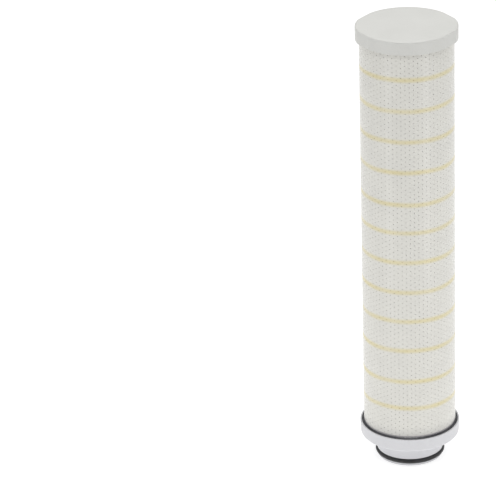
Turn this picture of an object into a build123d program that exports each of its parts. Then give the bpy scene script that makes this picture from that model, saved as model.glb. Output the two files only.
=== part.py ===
from build123d import *
import math
import os

# Pleated water filter cartridge, standing on its open neck.
# Millimetres. Origin at the centre of the neck's end face, +Z along the axis towards the closed cap.

# ---------------------------------------------------------------- driving dimensions
# Body
overall_length = 361.0  # neck end to the flat top of the closed cap
wrap_outer_radius = 36.0
wrap_thickness = 0.5

# Outlet bore and neck, from the bore outwards
bore_radius = 21.8
collar_wall = 0.9
collar_recess = 0.2  # the core's end stands this far inside the neck
bond_gap = 0.05  # radial gap between the core and what it is bonded into
groove_floor_wall = 0.95  # neck wall left under the O-ring groove
lip_height = 2.0
lip_setback = 0.4  # the lip is this much smaller in radius than the neck
lip_round = 0.5
neck_length = 19.2  # neck end to the underside of the open cap
neck_root_fillet = 2.6

# O-ring
o_ring_section = 3.53
o_ring_standout = 1.23  # how far the ring stands out of its groove
o_ring_side_room = 0.5  # extra width of the groove

# End caps
skirt_wall = 1.3
skirt_rim_land = 1.1
open_skirt_gap = 1.6  # radial gap between the wrap and the open cap's skirt, at its rim
open_skirt_height = 10.4
open_skirt_draft = 0.25  # the open cap's skirt is this much wider in radius at its rim than at its floor
open_floor_thickness = 2.4
open_corner_round = 1.6
closed_skirt_gap = 0.7
closed_skirt_height = 10.4
closed_top_thickness = 2.2
closed_corner_round = 1.2
rim_round = 0.3

# Pull lugs on the closed cap
lug_height = 0.9
lug_half_angle = 19.0  # degrees each side of the X axis
lug_flat_angle = 42.0  # where the flat beside a lug meets the round skirt
lug_corner_round = 5.0

# Potting
open_meniscus_climb = 0.9  # height of the potting fillet on the wrap, above the rim
open_potting_depth = 11.6  # above the open cap's floor, inside the wrap
closed_potting_depth = 5.4  # below the closed cap's top wall
pack_end_gap = 2.0  # from each cap wall to the ends of the pleats and the wrap

# Core tube
core_wall = 2.2
core_step = 0.5  # the slotted length is this much tighter than the plain collar bore
collar_above_fill = 1.6  # the collar bore runs on this far above the potting
core_end_gap = 1.0  # from the closed cap's top wall to the end of the core
slots_around = 30
slot_rows = 10
slot_width = 1.8
slot_ring = 5.0  # solid ring left between two rows of slots

# Pleated layers, from outside to inside
layer_thickness = {
    "upstream_mesh": 0.24,
    "cushion_layer": 0.14,
    "filter_media": 0.30,
    "support_scrim": 0.10,
    "downstream_mesh": 0.22,
}
pleat_tip_gap = 0.1  # free radius inside the tightest fold
pleat_root_gap = 0.42  # free gap between neighbouring pleats at the core
seam_width = 0.5
seam_clearance = 0.06  # each side, between the side seam and the pleats
seam_inset = 1.2  # from the pleat tips to the side seam

# Hot melt bands that hold the pleat tips and the wrap
band_count = 12
band_width = 2.6
band_thickness = 0.45
first_band_above_rim = 26.1
last_band_below_rim = 20.6
band_drop = {2: 1.7, 8: 1.5}  # two bands were laid a little low

# ---------------------------------------------------------------- derived dimensions
collar_outer_radius = bore_radius + collar_wall
neck_bore_radius = collar_outer_radius + bond_gap
groove_radius = neck_bore_radius + groove_floor_wall
groove_width = o_ring_section + o_ring_side_room
groove_top = lip_height + groove_width
neck_radius = groove_radius + o_ring_section - o_ring_standout
lip_radius = neck_radius - lip_setback
o_ring_center_radius = groove_radius + o_ring_section / 2
o_ring_height = lip_height + groove_width / 2

wrap_inner_radius = wrap_outer_radius - wrap_thickness
open_skirt_inner = wrap_outer_radius + open_skirt_gap
open_skirt_outer = open_skirt_inner + skirt_wall
open_floor_inner = open_skirt_inner - open_skirt_draft
open_floor_outer = open_skirt_outer - open_skirt_draft
closed_skirt_inner = wrap_outer_radius + closed_skirt_gap
closed_skirt_outer = closed_skirt_inner + skirt_wall
lug_radius = closed_skirt_outer + lug_height
rim_chamfer = skirt_wall - skirt_rim_land

open_floor = neck_length + open_floor_thickness
open_rim = neck_length + open_skirt_height
open_fill = open_floor + open_potting_depth
closed_ceiling = overall_length - closed_top_thickness
closed_rim = overall_length - closed_skirt_height
closed_fill = closed_ceiling - closed_potting_depth

core_inner_radius = bore_radius - core_step
core_outer_radius = core_inner_radius + core_wall
core_top = closed_ceiling - core_end_gap
collar_bore_top = open_fill + collar_above_fill
slots_bottom = collar_bore_top + slot_ring
slots_top = closed_fill - slot_ring

pack_bottom = open_floor + pack_end_gap
pack_top = closed_ceiling - pack_end_gap

stack_thickness = sum(layer_thickness.values())
fold_radius = stack_thickness / 2 + pleat_tip_gap  # of the stack's middle line at a fold
pleat_tip_radius = wrap_inner_radius - band_thickness
pleat_root_radius = core_outer_radius + bond_gap
peak_center_radius = pleat_tip_radius - stack_thickness / 2 - fold_radius
valley_center_radius = pleat_root_radius + stack_thickness / 2 + fold_radius
pleat_pitch_at_core = 2 * (stack_thickness + pleat_tip_gap) + pleat_root_gap
pleat_count = int(2 * math.pi * valley_center_radius / pleat_pitch_at_core)

first_band = open_rim + first_band_above_rim
last_band = closed_rim - last_band_below_rim
band_pitch = (last_band - first_band) / (band_count - 1)


# ---------------------------------------------------------------- helpers
def turned(outline):
    """A solid of revolution about Z from a closed outline of (radius, height) points."""
    points = [(radius, 0, height) for radius, height in outline]
    return revolve(make_face(Polyline(*points, close=True)), Axis.Z)


def rings(solid, radius, height):
    """The round edges about Z of one radius at one height."""
    round_edges = solid.edges().filter_by(GeomType.CIRCLE)
    return round_edges.filter_by(
        lambda edge: abs(edge.radius - radius) < 0.01 and abs(edge.arc_center.Z - height) < 0.01
    )


def polar(radius, degrees):
    angle = math.radians(degrees)
    return Vector(radius * math.cos(angle), radius * math.sin(angle))


def tube(outer, inner, bottom, top):
    return turned([(inner, bottom), (outer, bottom), (outer, top), (inner, top)])


# ---------------------------------------------------------------- end caps
def open_end_cap():
    cap = turned(
        [
            (neck_bore_radius, 0),
            (lip_radius, 0),
            (lip_radius, lip_height),
            (groove_radius, lip_height),
            (groove_radius, groove_top),
            (neck_radius, groove_top),
            (neck_radius, neck_length),
            (open_floor_outer, neck_length),
            (open_skirt_outer, open_rim),
            (open_skirt_inner + rim_chamfer, open_rim),
            (open_skirt_inner, open_rim - rim_chamfer),
            (open_floor_inner, open_floor),
            (neck_bore_radius, open_floor),
        ]
    )
    cap = fillet(rings(cap, open_floor_outer, neck_length), open_corner_round)
    cap = fillet(rings(cap, neck_radius, neck_length), neck_root_fillet)
    cap = fillet(rings(cap, neck_radius, groove_top), rim_round)
    return fillet(rings(cap, lip_radius, 0), lip_round)


def lugged_outline():
    """The closed cap seen from above: a circle with a wide lug on each side.

    A straight flat runs from each end of a lug back to the circle.
    """
    edges = []
    for turn in (0, 180):
        lug_start = polar(lug_radius, turn - lug_half_angle)
        lug_end = polar(lug_radius, turn + lug_half_angle)
        round_start = polar(closed_skirt_outer, turn + lug_flat_angle)
        round_end = polar(closed_skirt_outer, turn + 180 - lug_flat_angle)
        next_lug = polar(lug_radius, turn + 180 - lug_half_angle)
        edges.append(ThreePointArc(lug_start, polar(lug_radius, turn), lug_end))
        edges.append(Line(lug_end, round_start))
        edges.append(ThreePointArc(round_start, polar(closed_skirt_outer, turn + 90), round_end))
        edges.append(Line(round_end, next_lug))
    return make_face(edges)


def closed_end_cap():
    cap = extrude(Pos(0, 0, closed_rim) * lugged_outline(), closed_skirt_height)
    cap = fillet(cap.edges().filter_by(Axis.Z), lug_corner_round)
    top_edges = cap.faces().sort_by(Axis.Z)[-1].outer_wire().edges()
    cap = fillet(top_edges, closed_corner_round)
    hollow = Cylinder(
        closed_skirt_inner,
        closed_ceiling - closed_rim,
        align=(Align.CENTER, Align.CENTER, Align.MIN),
    )
    cap -= Pos(0, 0, closed_rim) * hollow
    return chamfer(rings(cap, closed_skirt_inner, closed_rim), rim_round)


def o_ring():
    section = Pos(o_ring_center_radius, 0, o_ring_height) * Rot(90, 0, 0) * Circle(o_ring_section / 2)
    return revolve(section, Axis.Z)


# ---------------------------------------------------------------- wrap, bands and core
def outer_wrap():
    return tube(wrap_outer_radius, wrap_inner_radius, pack_bottom, pack_top)


def glue_band(number):
    height = first_band + (number - 1) * band_pitch - band_drop.get(number, 0)
    band = tube(
        wrap_inner_radius,
        wrap_inner_radius - band_thickness,
        height - band_width / 2,
        height + band_width / 2,
    )
    return chamfer(
        rings(band, wrap_inner_radius - band_thickness, height - band_width / 2)
        + rings(band, wrap_inner_radius - band_thickness, height + band_width / 2),
        band_thickness / 2,
    )


def core_slots():
    """Flat bars through the whole tube, each cutting two slots that face each other."""
    row_pitch = (slots_top - slots_bottom + slot_ring) / slot_rows
    slot_length = row_pitch - slot_ring
    bar = Box(
        2 * core_outer_radius + 1,
        slot_width,
        slot_length,
        align=(Align.CENTER, Align.CENTER, Align.MIN),
    )
    bars = []
    for row in range(slot_rows):
        for step in range(slots_around // 2):
            bars.append(Pos(0, 0, slots_bottom + row * row_pitch) * Rot(0, 0, step * 360 / slots_around) * bar)
    return bars


def core_tube():
    core = turned(
        [
            (bore_radius, collar_recess),
            (collar_outer_radius, collar_recess),
            (collar_outer_radius, open_floor),
            (core_outer_radius, open_floor),
            (core_outer_radius, core_top),
            (core_inner_radius, core_top),
            (core_inner_radius, collar_bore_top),
            (bore_radius, collar_bore_top),
        ]
    )
    return core - core_slots()


# ---------------------------------------------------------------- pleated layers
def fold_edges(offset, number):
    """One peak and one valley of the pleat line, moved outwards from the stack's middle by offset."""
    step = 180 / pleat_count
    peak_angle = number * 2 * step
    peak = polar(peak_center_radius, peak_angle)
    peak_fold = fold_radius + offset
    valley_fold = fold_radius - offset
    sides = {}
    for side in (-1, 1):
        valley = polar(valley_center_radius, peak_angle + side * step)
        along = (valley - peak).normalized()
        across = Vector(along.Y, -along.X) * side
        lean = math.acos(2 * fold_radius / (valley - peak).length)
        normal = along * math.cos(lean) + across * math.sin(lean)
        sides[side] = (peak + normal * peak_fold, valley - normal * valley_fold)
    crest = polar(peak_center_radius + peak_fold, peak_angle)
    root = polar(valley_center_radius - valley_fold, peak_angle + step)
    next_start = sides[-1][1].rotate(Axis.Z, 2 * step)
    return [
        Line(sides[-1][1], sides[-1][0]),
        ThreePointArc(sides[-1][0], crest, sides[1][0]),
        Line(sides[1][0], sides[1][1]),
        ThreePointArc(sides[1][1], root, next_start),
    ]


def pleat_outline(offset):
    edges = []
    for number in range(pleat_count):
        edges += fold_edges(offset, number)
    return Wire(edges)


def pleated_band(outer_offset, inner_offset, bottom, top):
    """The pleated sheet between two offsets from the stack's middle line."""
    section = Face(pleat_outline(outer_offset), [pleat_outline(inner_offset)])
    return extrude(Pos(0, 0, bottom) * section, top - bottom, dir=(0, 0, 1))


def pleated_layers():
    layers = {}
    outer_offset = stack_thickness / 2
    for name, thickness in layer_thickness.items():
        inner_offset = outer_offset - thickness
        layers[name] = pleated_band(outer_offset, inner_offset, pack_bottom, pack_top)
        outer_offset = inner_offset
    return layers


def pleat_side_seam(bottom, top):
    """A flat strip in the gap between two pleats, as deep as the gap is wide enough."""
    half_step = 180 / pleat_count
    peak = polar(peak_center_radius, half_step)
    gap_slope = (peak.Y - 2 * fold_radius) / (peak.X - valley_center_radius)
    inner = valley_center_radius + (seam_width / 2 + seam_clearance - pleat_tip_gap) / gap_slope
    outer = pleat_tip_radius - seam_inset
    strip = Pos((inner + outer) / 2, 0, (bottom + top) / 2) * Box(outer - inner, seam_width, top - bottom)
    return Rot(0, 0, half_step) * strip


# ---------------------------------------------------------------- potting
def pack_sockets():
    """The space that the ends of the pleats and their side seam take up in the potting."""
    half = stack_thickness / 2
    return [pleated_band(half, -half, pack_bottom, pack_top), pleat_side_seam(pack_bottom, pack_top)]


def open_end_potting(sockets):
    fill_radius = open_skirt_inner + rim_chamfer
    climb_top = open_rim + open_meniscus_climb
    lines = Polyline(
        (wrap_outer_radius, 0, climb_top),
        (wrap_outer_radius, 0, pack_bottom),
        (wrap_inner_radius, 0, pack_bottom),
        (wrap_inner_radius, 0, open_fill),
        (core_outer_radius, 0, open_fill),
        (core_outer_radius, 0, open_floor),
        (open_floor_inner, 0, open_floor),
        (open_skirt_inner, 0, open_rim - rim_chamfer),
        (fill_radius, 0, open_rim),
    )
    bulge = Vector(wrap_outer_radius + open_skirt_gap * 0.4, 0, open_rim + open_meniscus_climb * 0.4)
    meniscus = ThreePointArc((fill_radius, 0, open_rim), bulge, (wrap_outer_radius, 0, climb_top))
    return revolve(make_face([lines, meniscus]), Axis.Z) - sockets


def closed_end_potting(sockets):
    body = turned(
        [
            (0, closed_ceiling),
            (closed_skirt_inner, closed_ceiling),
            (closed_skirt_inner, closed_fill),
            (wrap_outer_radius, closed_fill),
            (wrap_outer_radius, pack_top),
            (wrap_inner_radius, pack_top),
            (wrap_inner_radius, closed_fill),
            (core_outer_radius, closed_fill),
            (core_outer_radius, core_top),
            (core_inner_radius, core_top),
            (core_inner_radius, closed_fill),
            (0, closed_fill),
        ]
    )
    return body - sockets


# ---------------------------------------------------------------- all pieces
def pieces():
    sockets = pack_sockets()
    nodes = {
        "open_end_cap": open_end_cap(),
        "closed_end_cap": closed_end_cap(),
        "o_ring": o_ring(),
        "outer_wrap": outer_wrap(),
        "core_tube": core_tube(),
        "open_end_potting": open_end_potting(sockets),
        "closed_end_potting": closed_end_potting(sockets),
        "pleat_side_seam": pleat_side_seam(pack_bottom, pack_top),
    }
    nodes.update(pleated_layers())
    for number in range(1, band_count + 1):
        nodes[f"glue_band_{number:02d}"] = glue_band(number)
    return nodes


os.makedirs("parts", exist_ok=True)
for node, shape in pieces().items():
    export_step(shape, f"parts/{node}.step")
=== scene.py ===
import math
import random

import bpy
from mathutils import Matrix, Vector, noise


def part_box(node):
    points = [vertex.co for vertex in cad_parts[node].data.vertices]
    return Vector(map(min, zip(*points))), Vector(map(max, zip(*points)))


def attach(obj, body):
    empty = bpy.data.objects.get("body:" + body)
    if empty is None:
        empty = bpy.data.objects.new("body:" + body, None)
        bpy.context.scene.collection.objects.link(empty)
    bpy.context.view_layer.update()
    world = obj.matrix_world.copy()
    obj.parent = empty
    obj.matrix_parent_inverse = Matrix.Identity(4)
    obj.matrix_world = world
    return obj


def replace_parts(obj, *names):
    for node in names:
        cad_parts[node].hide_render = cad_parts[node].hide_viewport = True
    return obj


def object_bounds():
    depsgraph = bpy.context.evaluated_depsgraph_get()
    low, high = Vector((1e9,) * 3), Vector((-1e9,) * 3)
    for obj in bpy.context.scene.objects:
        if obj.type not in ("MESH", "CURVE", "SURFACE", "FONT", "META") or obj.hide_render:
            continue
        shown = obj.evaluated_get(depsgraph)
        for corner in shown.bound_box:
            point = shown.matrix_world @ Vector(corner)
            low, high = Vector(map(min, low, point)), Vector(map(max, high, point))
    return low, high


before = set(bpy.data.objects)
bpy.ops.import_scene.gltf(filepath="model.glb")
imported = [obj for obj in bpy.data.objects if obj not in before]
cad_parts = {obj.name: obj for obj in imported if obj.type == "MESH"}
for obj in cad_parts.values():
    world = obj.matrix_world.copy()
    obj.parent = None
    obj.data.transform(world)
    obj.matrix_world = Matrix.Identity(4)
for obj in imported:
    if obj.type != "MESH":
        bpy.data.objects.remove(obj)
cad_low, cad_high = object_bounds()

MM = 0.001
random.seed(12)

# ---------------------------------------------------------------- driving values
# Camera: how the standing cartridge is seen
VIEW_ELEVATION = math.radians(24.7)
VIEW_DISTANCE = 2.613
AIM_HEIGHT = 0.175
LENS = 243.6
SENSOR = 36.0
PAN = math.radians(2.714)  # the camera turns left, so the cartridge stands right of centre
ROLL = math.radians(0.48)

# Perforated wrap: rows of staggered holes in a thin film
HOLE_COLUMNS = 70
HOLE_ROW_PITCH = 3.87 * MM
HOLE_RADIUS = 0.31 * MM
HOLE_SIDES = 8  # the faces between a hole and its cell are laid out for eight sides
LATTICE_LIFT = 1.27 * MM  # the lowest cells start this far above the wrap's hidden end
WRAP_RIPPLE = 0.05 * MM
RIPPLE_ACROSS = 2.2  # noise cells in a wrap's radius
RIPPLE_ALONG = 38  # noise cells in a metre

# Hot melt
BEAD_TINT_HALF_WIDTH = 3.5 * MM
BEAD_WANDER = 0.5 * MM
BEAD_THICKNESS = 0.42 * MM
BEAD_FLAT_SHARE = 0.8  # of a bead's half width, where it lies flat on the wrap
BEAD_WIDTH = 0.85  # mean, as a share of the CAD band's width
BEAD_WIDTH_SWING = 0.15
BEAD_DRIFT = 0.12  # up and down, as a share of the CAD band's half width
BEAD_CROWN_POINTS = 7
BEAD_TURNS = 120

# O-ring
RING_SIDES = 40
RING_TURNS = 160

# Potting seen through the wrap, and the film a little greyer just above it
POTTING_SHOW_DEPTH = 1.4 * MM  # from the potting's level down to where the film turns dark
POTTING_EDGE = 0.4 * MM
HAZE_REACH = 9.0 * MM  # a faint darkening of the film above the dark part
HAZE_DEPTH = 0.20

# Meshes
SHARP_ANGLE = math.radians(35)

# Support nets
NET_PITCH = 1.2 * MM
NET_STRANDS = 177  # around the cartridge

# Colours: the tone where a material's clouds are low, and where they are high
WHITE = (1, 1, 1, 1)
FILM_TONES = ((0.75, 0.74, 0.69, 1), (0.72, 0.71, 0.665, 1))
FILM_OVER_MELT = (1.0, 0.908, 0.58, 1)
FILM_OVER_POTTING = (0.46, 0.45, 0.50, 1)
OPEN_CAP_TONES = ((0.705, 0.705, 0.725, 1), (0.68, 0.68, 0.70, 1))
CLOSED_CAP_TONES = ((0.705, 0.705, 0.675, 1), (0.68, 0.68, 0.65, 1))
MELT_TONES = ((0.74, 0.45, 0.13, 1), (0.62, 0.36, 0.09, 1))
POTTING_TONES = ((0.035, 0.035, 0.040, 1), (0.07, 0.07, 0.078, 1))
RUBBER_TONES = ((0.012, 0.012, 0.013, 1), (0.028, 0.027, 0.028, 1))
CORE_TONES = ((0.56, 0.52, 0.30, 1), (0.47, 0.44, 0.24, 1))
FLOOR_TONES = ((0.56, 0.56, 0.56, 1), (0.54, 0.54, 0.54, 1))
UPSTREAM_NET_TONE = (0.50, 0.50, 0.48, 1)
DOWNSTREAM_NET_TONE = (0.80, 0.80, 0.76, 1)
CUSHION_TONE = (0.86, 0.86, 0.84, 1)
MEDIA_TONE = (0.84, 0.82, 0.74, 1)
CAP_ROUGHNESS = 0.42
PLASTIC_IOR = 1.49

# Studio
FLOOR_HALF_WIDTH = 1.1
FLOOR_GLOW = 0.72
BACKDROP_LIGHT = 0.34  # on the cartridge
BACKDROP_SEEN = 1.0  # by the camera
SOFT_BOXES = (  # name, azimuth, elevation, distance, size, power
    ("strip_left", -45, -3, 0.37, (0.05, 0.36), 0.105),
    ("strip_right", 45, -3, 0.37, (0.05, 0.36), 0.14),
    ("side_left", -100, 20, 1.8, (1.2, 1.6), 4),
    ("side_right", 100, 20, 1.8, (1.2, 1.6), 4),
    ("front_top", 0, 62, 1.4, (0.7, 0.4), 4.5),
    ("top", 180, 75, 2.0, (1.6, 1.6), 18),
)


def glue_bands():
    """The names of the CAD's hot melt bands, from the open end up."""
    return sorted(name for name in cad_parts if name.startswith("glue_band"))


# ---------------------------------------------------------------- node helpers
def new_material(name):
    """A material with a Principled shader, and its object coordinates."""
    made = bpy.data.materials.new(name)
    made.use_nodes = True
    tree = made.node_tree
    shader = tree.nodes["Principled BSDF"]
    place = tree.nodes.new("ShaderNodeTexCoord").outputs["Object"]
    return made, tree, shader, place


def put(tree, kind, values, **settings):
    """Adds a node. Each value is a number or colour to set, or an output to link."""
    made = tree.nodes.new("ShaderNode" + kind)
    for key, value in settings.items():
        setattr(made, key, value)
    for key, value in values.items():
        socket = made.inputs[key]
        if isinstance(value, bpy.types.NodeSocket):
            tree.links.new(value, socket)
        else:
            socket.default_value = value
    return made


def math_node(tree, operation, first, second=0.0):
    return put(tree, "Math", {0: first, 1: second}, operation=operation).outputs[0]


def grain(tree, place, scale, detail=2.0, stretch=(1, 1, 1)):
    """Noise from 0 to 1 at a scale in cells per metre."""
    spread = put(tree, "Mapping", {"Vector": place, "Scale": stretch}).outputs["Vector"]
    cloud = put(tree, "TexNoise", {"Vector": spread, "Scale": scale, "Detail": detail})
    return cloud.outputs["Fac"]


def between(tree, factor, low, high, start=0.3, stop=0.7, **settings):
    """Maps a factor that runs from start to stop to a number from low to high."""
    values = {"Value": factor, "From Min": start, "From Max": stop, "To Min": low, "To Max": high}
    return put(tree, "MapRange", values, **settings).outputs["Result"]


def blend_colour(tree, factor, first, second, blend_type="MIX"):
    values = {0: factor, 6: first, 7: second}
    return put(tree, "Mix", values, data_type="RGBA", blend_type=blend_type).outputs[2]


def cloudy(tree, clouds, tones):
    """A colour that drifts between two tones."""
    return blend_colour(tree, between(tree, clouds, 0, 1), tones[0], tones[1])


def bump(tree, height, depth, normal=None):
    values = {"Height": height, "Distance": depth, "Strength": 1.0}
    if normal is not None:
        values["Normal"] = normal
    return put(tree, "Bump", values).outputs["Normal"]


def finish_with(tree, shader, colour, roughness, normal):
    tree.links.new(colour, shader.inputs["Base Color"])
    tree.links.new(roughness, shader.inputs["Roughness"])
    tree.links.new(normal, shader.inputs["Normal"])


# ---------------------------------------------------------------- materials
def moulded_plastic(name, tones):
    """Injection-moulded plastic: faint cloudy tone, fine satin texture and slow sink."""
    made, tree, shader, place = new_material(name)
    colour = cloudy(tree, grain(tree, place, 45), tones)
    rough = between(tree, grain(tree, place, 220), CAP_ROUGHNESS - 0.05, CAP_ROUGHNESS + 0.07)
    satin = bump(tree, grain(tree, place, 2600, 3), 0.02 * MM)
    sink = bump(tree, grain(tree, place, 28, 1), 0.25 * MM, satin)
    finish_with(tree, shader, colour, rough, sink)
    shader.inputs["IOR"].default_value = PLASTIC_IOR
    return made


def band_strength(tree, place):
    """How much hot melt shows through the wrap at each height: 1 at the middle of a band."""
    level = put(tree, "SeparateXYZ", {0: place}).outputs["Z"]
    wander = between(tree, grain(tree, place, 22, 1), -BEAD_WANDER, BEAD_WANDER)
    height = math_node(tree, "ADD", level, wander)
    total = 0.0
    for node in glue_bands():
        low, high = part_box(node)
        away = math_node(tree, "SUBTRACT", height, (low.z + high.z) / 2)
        away = math_node(tree, "ABSOLUTE", away)
        near = between(tree, away, 1, 0, 0, BEAD_TINT_HALF_WIDTH, interpolation_type="SMOOTHERSTEP")
        total = math_node(tree, "MAXIMUM", near, total)
    return total


def potting_and_greying_strength(tree, place):
    """How much the dark potting shows through the wrap: 1 from just below its level down.

    Above that, a faint greying of the film fades out with height.
    """
    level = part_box("open_end_potting")[1].z - POTTING_SHOW_DEPTH
    height = put(tree, "SeparateXYZ", {0: place}).outputs["Z"]
    dark = between(tree, height, 1, 0, level - POTTING_EDGE, level + POTTING_EDGE)
    above = level + HAZE_REACH
    haze = between(tree, height, HAZE_DEPTH, 0, level, above, interpolation_type="SMOOTHSTEP")
    return math_node(tree, "MAXIMUM", dark, haze)


def wrap_film():
    """Thin white perforated film. Hot melt and the dark potting behind it show through."""
    made, tree, shader, place = new_material("wrap_film")
    film = cloudy(tree, grain(tree, place, 60), FILM_TONES)
    uneven = between(tree, grain(tree, place, 40), 0.65, 1.0)
    melt = math_node(tree, "MULTIPLY", band_strength(tree, place), uneven)
    amber = blend_colour(tree, melt, WHITE, FILM_OVER_MELT)
    over_melt = blend_colour(tree, 1.0, film, amber, "MULTIPLY")
    # the film turns dark where the potting shows through, and a little greyer for a short way above it
    dark = blend_colour(tree, potting_and_greying_strength(tree, place), WHITE, FILM_OVER_POTTING)
    colour = blend_colour(tree, 1.0, over_melt, dark, "MULTIPLY")
    rough = between(tree, grain(tree, place, 300), 0.24, 0.33)
    texture = bump(tree, grain(tree, place, 1800, 2), 0.015 * MM)
    slack = bump(tree, grain(tree, place, 55, 1), 0.06 * MM, texture)
    finish_with(tree, shader, colour, rough, slack)
    shader.inputs["IOR"].default_value = PLASTIC_IOR
    return made


def hot_melt():
    """Amber glue, glossy and slightly lumpy."""
    made, tree, shader, place = new_material("hot_melt")
    colour = cloudy(tree, grain(tree, place, 150), MELT_TONES)
    rough = between(tree, grain(tree, place, 400), 0.18, 0.32)
    finish_with(tree, shader, colour, rough, bump(tree, grain(tree, place, 500, 2), 0.1 * MM))
    return made


def potting_resin():
    """Near-black cast resin with a glossy, uneven skin."""
    made, tree, shader, place = new_material("potting_resin")
    colour = cloudy(tree, grain(tree, place, 180), POTTING_TONES)
    rough = between(tree, grain(tree, place, 260), 0.16, 0.34)
    finish_with(tree, shader, colour, rough, bump(tree, grain(tree, place, 300, 3), 0.15 * MM))
    return made


def seal_rubber():
    """Matt black rubber with a very fine grain."""
    made, tree, shader, place = new_material("seal_rubber")
    colour = cloudy(tree, grain(tree, place, 400), RUBBER_TONES)
    rough = between(tree, grain(tree, place, 700), 0.38, 0.55)
    finish_with(tree, shader, colour, rough, bump(tree, grain(tree, place, 3500, 3), 0.02 * MM))
    return made


def core_plastic():
    """Drawn, olive-yellow plastic with faint lines along the tube."""
    made, tree, shader, place = new_material("core_plastic")
    streaks = grain(tree, place, 900, 2, (1, 1, 0.02))
    colour = cloudy(tree, streaks, CORE_TONES)
    rough = between(tree, grain(tree, place, 260), 0.34, 0.46)
    finish_with(tree, shader, colour, rough, bump(tree, streaks, 0.05 * MM))
    return made


def support_mesh(name, tone):
    """Plastic net of crossing strands, painted darker between the strands as shade."""
    made, tree, shader, place = new_material(name)
    axes = put(tree, "SeparateXYZ", {0: place}).outputs
    turn = math_node(tree, "ARCTAN2", axes["Y"], axes["X"])
    hoops = math_node(tree, "SINE", math_node(tree, "MULTIPLY", axes["Z"], 2 * math.pi / NET_PITCH))
    ribs = math_node(tree, "SINE", math_node(tree, "MULTIPLY", turn, NET_STRANDS))
    net = math_node(tree, "MAXIMUM", hoops, ribs)
    # shade: the net's tone darkened, a painted shade laid into the low gaps between the strands
    shade = tuple(0.72 * c for c in tone[:3]) + (1,)
    colour = blend_colour(tree, between(tree, net, 0, 1, -0.2, 0.9), shade, tone)
    rough = between(tree, grain(tree, place, 300), 0.40, 0.52)
    finish_with(tree, shader, colour, rough, bump(tree, net, 0.08 * MM))
    return made


def nonwoven(name, tone):
    """Soft felted fibres, finer and longer one way."""
    made, tree, shader, place = new_material(name)
    fibres = grain(tree, place, 1600, 4, (1, 1, 0.35))
    shade = tuple(0.85 * c for c in tone[:3]) + (1,)
    colour = blend_colour(tree, between(tree, fibres, 0, 1), shade, tone)
    rough = between(tree, grain(tree, place, 500), 0.85, 0.98)
    finish_with(tree, shader, colour, rough, bump(tree, fibres, 0.08 * MM))
    return made


# ---------------------------------------------------------------- mesh helpers
def mesh_object(name, vertices, faces, material):
    """A smooth-shaded piece that rides on the root body, with creases kept sharp."""
    mesh = bpy.data.meshes.new(name)
    mesh.from_pydata(vertices, [], faces)
    mesh.materials.append(material)
    mesh.update()
    mesh.shade_smooth()
    mesh.set_sharp_from_angle(angle=SHARP_ANGLE)
    made = bpy.data.objects.new(name, mesh)
    bpy.context.scene.collection.objects.link(made)
    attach(made, "root")
    return made


def around(angle, radius, height):
    """A point at an angle turned from the front, the -Y side."""
    return (radius * math.sin(angle), -radius * math.cos(angle), height)


def swept_ring(name, section, turns, material, shape=None):
    """A closed ring: a closed section of (radius, height) points, turned about Z.

    shape(angle, radius, height) may move each point.
    """
    vertices = []
    for turn in range(turns):
        angle = 2 * math.pi * turn / turns
        for radius, height in section:
            if shape:
                radius, height = shape(angle, radius, height)
            vertices.append(around(angle, radius, height))
    count = len(section)
    faces = []
    for turn in range(turns):
        here, there = turn * count, (turn + 1) % turns * count
        for i in range(count):
            j = (i + 1) % count
            faces.append((here + i, there + i, there + j, here + j))
    return mesh_object(name, vertices, faces, material)


# ---------------------------------------------------------------- the wrap
def wrap_cells(bottom, top):
    """The sleeve cut into cells, one for each hole, with odd columns half a cell higher.

    Yields (column, lowest half-row, half-rows high).
    """
    rows = round((top - bottom) / HOLE_ROW_PITCH)
    for column in range(HOLE_COLUMNS):
        if column % 2 == 0:
            for row in range(rows):
                yield column, 2 * row, 2
        else:
            yield column, 0, 1
            for row in range(rows - 1):
                yield column, 2 * row + 1, 2
            yield column, 2 * rows - 1, 1


def perforated_sleeve(name, bottom, top, outer, inner, upper, material):
    """The upper or lower half of the wrap, with real holes through its wall."""
    rows = round((top - bottom) / HOLE_ROW_PITCH)
    half_pitch = (top - bottom) / rows / 2
    step = 2 * math.pi / HOLE_COLUMNS
    flat = []  # (angle, height) of each point
    known = {}
    faces = []

    def corner(column, half_row):
        key = (column % HOLE_COLUMNS, half_row)
        if key not in known:
            known[key] = len(flat)
            flat.append((key[0] * step, bottom + half_row * half_pitch))
        return known[key]

    for column, low, high in wrap_cells(bottom, top):
        if (low + high / 2 > rows) != upper:
            continue
        left = [corner(column, low + i) for i in range(high + 1)]
        right = [corner(column + 1, low + i) for i in range(high + 1)]
        if high == 1:
            faces.append((left[0], right[0], right[1], left[1]))
            continue
        first = len(flat)
        middle = (column + 0.5) * step
        for i in range(HOLE_SIDES):
            turn = 2 * math.pi * i / HOLE_SIDES
            across = HOLE_RADIUS * math.cos(turn) / outer
            flat.append((middle + across, bottom + (low + 1) * half_pitch + HOLE_RADIUS * math.sin(turn)))
        rim = [first + i for i in range(HOLE_SIDES)]
        faces.append((left[0], right[0], rim[7], rim[6], rim[5]))
        faces.append((right[0], right[1], rim[0], rim[7]))
        faces.append((right[1], right[2], rim[1], rim[0]))
        faces.append((right[2], left[2], rim[3], rim[2], rim[1]))
        faces.append((left[2], left[1], rim[4], rim[3]))
        faces.append((left[1], left[0], rim[5], rim[4]))

    def lifted(radius):
        for angle, height in flat:
            spot = Vector(around(angle, RIPPLE_ACROSS, RIPPLE_ALONG * height))
            ripple = (noise.noise(spot) - 1) / 2 * WRAP_RIPPLE
            yield around(angle, radius + ripple, height)

    count = len(flat)
    edges = {}
    for face in faces:
        for a, b in zip(face, face[1:] + face[:1]):
            edges[(a, b)] = True
    walls = [(b, a, a + count, b + count) for a, b in edges if (b, a) not in edges]
    inside = [tuple(i + count for i in reversed(face)) for face in faces]
    vertices = list(lifted(outer)) + list(lifted(inner))
    return mesh_object(name, vertices, faces + inside + walls, material)


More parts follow.
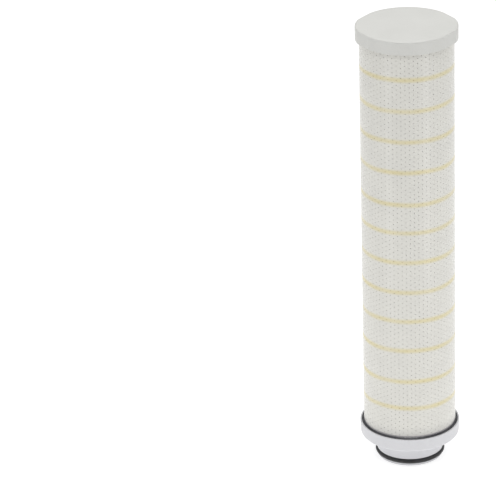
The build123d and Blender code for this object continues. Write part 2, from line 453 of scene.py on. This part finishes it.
def wrap():
    low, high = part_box("outer_wrap")
    bottom = low.z + LATTICE_LIFT
    outer = high.x
    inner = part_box("glue_band_01")[1].x
    film = wrap_film()
    for name, upper in (("wrap_lower", False), ("wrap_upper", True)):
        half = perforated_sleeve(name, bottom, high.z, outer, inner, upper, film)
        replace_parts(half, "outer_wrap")


# ---------------------------------------------------------------- hot melt beads
def bead(node, material):
    """A bead laid by a nozzle: flat against the wrap, crowned inside, with a slow wander."""
    low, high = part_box(node)
    outer = high.x
    middle, half = (low.z + high.z) / 2, (high.z - low.z) / 2
    phase = random.uniform(0, 100)
    section = [(outer, -BEAD_FLAT_SHARE * half), (outer, BEAD_FLAT_SHARE * half)]
    for i in range(BEAD_CROWN_POINTS):
        turn = math.pi * (i + 0.5) / BEAD_CROWN_POINTS
        section.append((outer - BEAD_THICKNESS * math.sin(turn), half * math.cos(turn)))

    def shape(angle, radius, height):
        spot = Vector((2 * math.cos(angle), 2 * math.sin(angle), phase))
        width = BEAD_WIDTH + BEAD_WIDTH_SWING * noise.noise(2 * spot)
        drift = BEAD_DRIFT * half * noise.noise(spot)
        return radius, middle + drift + height * width

    made = swept_ring("bead_" + node[-2:], section, BEAD_TURNS, material, shape)
    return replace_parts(made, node)


# ---------------------------------------------------------------- O-ring
def o_ring(material):
    low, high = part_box("o_ring")
    radius = (high.z - low.z) / 2
    center = high.x - radius
    level = (low.z + high.z) / 2
    section = []
    for i in range(RING_SIDES):
        turn = -2 * math.pi * i / RING_SIDES
        section.append((center + radius * math.cos(turn), level + radius * math.sin(turn)))
    made = swept_ring("seal_ring", section, RING_TURNS, material)
    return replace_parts(made, "o_ring")


# ---------------------------------------------------------------- floor, light and camera
def floor():
    made, tree, shader, place = new_material("pale_floor")
    tree.links.new(cloudy(tree, grain(tree, place, 9), FLOOR_TONES), shader.inputs["Base Color"])
    tree.links.new(between(tree, grain(tree, place, 30), 0.8, 0.9), shader.inputs["Roughness"])
    shader.inputs["Emission Color"].default_value = WHITE
    shader.inputs["Emission Strength"].default_value = FLOOR_GLOW
    sides = ((-1, -1), (1, -1), (1, 1), (-1, 1))
    corners = [(x * FLOOR_HALF_WIDTH, y * FLOOR_HALF_WIDTH, cad_low.z) for x, y in sides]
    mesh = bpy.data.meshes.new("floor")
    mesh.from_pydata(corners, [], [(0, 1, 2, 3)])
    mesh.materials.append(made)
    plane = bpy.data.objects.new("floor", mesh)
    bpy.context.scene.collection.objects.link(plane)


def area_light(name, azimuth, elevation, distance, size, power):
    """A soft box aimed at the middle of the cartridge. Azimuth 0 is the camera's side."""
    turn, lift = math.radians(azimuth), math.radians(elevation)
    away = Vector((math.sin(turn) * math.cos(lift), -math.cos(turn) * math.cos(lift), math.sin(lift)))
    light = bpy.data.lights.new(name, "AREA")
    light.shape = "RECTANGLE"
    light.size, light.size_y = size
    light.energy = power
    made = bpy.data.objects.new(name, light)
    made.location = Vector((0, 0, AIM_HEIGHT)) + away * distance
    made.rotation_mode = "QUATERNION"
    made.rotation_quaternion = (-away).to_track_quat("-Z", "Y")
    bpy.context.scene.collection.objects.link(made)


def studio():
    """White backdrop, dimmer as a light than it looks to the camera, and the soft boxes."""
    world = bpy.data.worlds.new("studio")
    world.use_nodes = True
    bpy.context.scene.world = world
    tree = world.node_tree
    lit = tree.nodes["Background"].outputs[0]
    tree.nodes["Background"].inputs["Color"].default_value = WHITE
    tree.nodes["Background"].inputs["Strength"].default_value = BACKDROP_LIGHT
    seen = put(tree, "Background", {"Color": WHITE, "Strength": BACKDROP_SEEN}).outputs[0]
    is_seen = put(tree, "LightPath", {}).outputs["Is Camera Ray"]
    both = put(tree, "MixShader", {0: is_seen, 1: lit, 2: seen}).outputs[0]
    tree.links.new(both, tree.nodes["World Output"].inputs["Surface"])
    for box in SOFT_BOXES:
        area_light(*box)


def camera():
    data = bpy.data.cameras.new("camera")
    data.sensor_width = SENSOR
    data.lens = LENS
    data.clip_end = 50
    made = bpy.data.objects.new("camera", data)
    away = Vector((0, -math.cos(VIEW_ELEVATION), math.sin(VIEW_ELEVATION)))
    aimed = (-away).to_track_quat("-Z", "Y").to_matrix().to_4x4()
    turned = aimed @ Matrix.Rotation(-ROLL, 4, "Z") @ Matrix.Rotation(PAN, 4, "Y")
    made.matrix_world = Matrix.Translation(Vector((0, 0, AIM_HEIGHT)) + away * VIEW_DISTANCE) @ turned
    bpy.context.scene.collection.objects.link(made)
    bpy.context.scene.camera = made
    bpy.context.scene.view_settings.view_transform = "Standard"


# ---------------------------------------------------------------- CAD nodes that stay
def dress(material, *nodes):
    for node in nodes:
        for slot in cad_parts[node].material_slots:
            slot.material = material


def dress_cad_nodes():
    dress(moulded_plastic("cap_plastic", OPEN_CAP_TONES), "open_end_cap")
    dress(moulded_plastic("closed_cap_plastic", CLOSED_CAP_TONES), "closed_end_cap")
    dress(potting_resin(), "open_end_potting", "closed_end_potting")
    dress(core_plastic(), "core_tube")
    dress(support_mesh("upstream_net", UPSTREAM_NET_TONE), "upstream_mesh")
    dress(support_mesh("downstream_net", DOWNSTREAM_NET_TONE), "downstream_mesh")
    dress(nonwoven("cushion_fibre", CUSHION_TONE), "cushion_layer", "support_scrim")
    dress(nonwoven("filter_fibre", MEDIA_TONE), "filter_media")
    dress(hot_melt(), "pleat_side_seam")


wrap()
melt = hot_melt()
for node in glue_bands():
    bead(node, melt)
o_ring(seal_rubber())
dress_cad_nodes()
floor()
studio()
camera()
